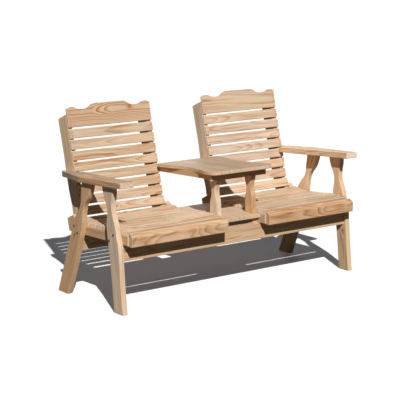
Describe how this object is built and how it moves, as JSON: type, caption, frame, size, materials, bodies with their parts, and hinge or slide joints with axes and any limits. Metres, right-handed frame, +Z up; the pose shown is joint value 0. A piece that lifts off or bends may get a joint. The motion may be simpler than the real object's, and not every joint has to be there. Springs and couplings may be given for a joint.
{
  "type": "cross back settee",
  "caption": "Slatted timber settee with reclined backs, shaped crests, flat arms and a small table joining its seats.",
  "frame": {"origin": "on the floor, under the middle of the settee from side to side and from front to back", "axes": "+X towards the right of someone facing the settee, +Y towards its back, +Z up"},
  "size_m": [1.612, 0.7352, 0.9784],
  "materials": {
    "slat_timber": "sanded bare pine, lightly weathered",
    "frame_timber": "planed bare pine, warmer in tone",
    "table_timber": "sanded bare pine, greyed by weather"
  },
  "bodies": {
    "root": {"front_leg_left": "frame_timber", "rear_leg_left": "frame_timber", "side_rail_left_outer": "frame_timber", "side_rail_left_inner": "frame_timber", "seat_nosing_left": "slat_timber", "seat_slat_left_1": "slat_timber", "seat_slat_left_2": "slat_timber", "seat_slat_left_3": "slat_timber", "seat_slat_left_4": "slat_timber", "seat_slat_left_5": "slat_timber", "seat_slat_left_6": "slat_timber", "seat_slat_left_7": "slat_timber", "seat_slat_left_8": "slat_timber", "back_slat_left_1": "slat_timber", "back_slat_left_2": "slat_timber", "back_slat_left_3": "slat_timber", "back_slat_left_4": "slat_timber", "back_slat_left_5": "slat_timber", "back_slat_left_6": "slat_timber", "back_slat_left_7": "slat_timber", "back_slat_left_8": "slat_timber", "crest_left": "slat_timber", "upright_left_outer": "frame_timber", "upright_left_inner": "frame_timber", "arm_left": "slat_timber", "post_left": "frame_timber", "bearer_left": "frame_timber", "front_leg_right": "frame_timber", "rear_leg_right": "frame_timber", "side_rail_right_outer": "frame_timber", "side_rail_right_inner": "frame_timber", "seat_nosing_right": "slat_timber", "seat_slat_right_1": "slat_timber", "seat_slat_right_2": "slat_timber", "seat_slat_right_3": "slat_timber", "seat_slat_right_4": "slat_timber", "seat_slat_right_5": "slat_timber", "seat_slat_right_6": "slat_timber", "seat_slat_right_7": "slat_timber", "seat_slat_right_8": "slat_timber", "back_slat_right_1": "slat_timber", "back_slat_right_2": "slat_timber", "back_slat_right_3": "slat_timber", "back_slat_right_4": "slat_timber", "back_slat_right_5": "slat_timber", "back_slat_right_6": "slat_timber", "back_slat_right_7": "slat_timber", "back_slat_right_8": "slat_timber", "crest_right": "slat_timber", "upright_right_outer": "frame_timber", "upright_right_inner": "frame_timber", "arm_right": "slat_timber", "post_right": "frame_timber", "bearer_right": "frame_timber", "table_top": "table_timber", "table_strip": "frame_timber", "console_board": "slat_timber", "front_apron": "frame_timber", "rear_apron": "frame_timber"}
  },
  "joints": []
}
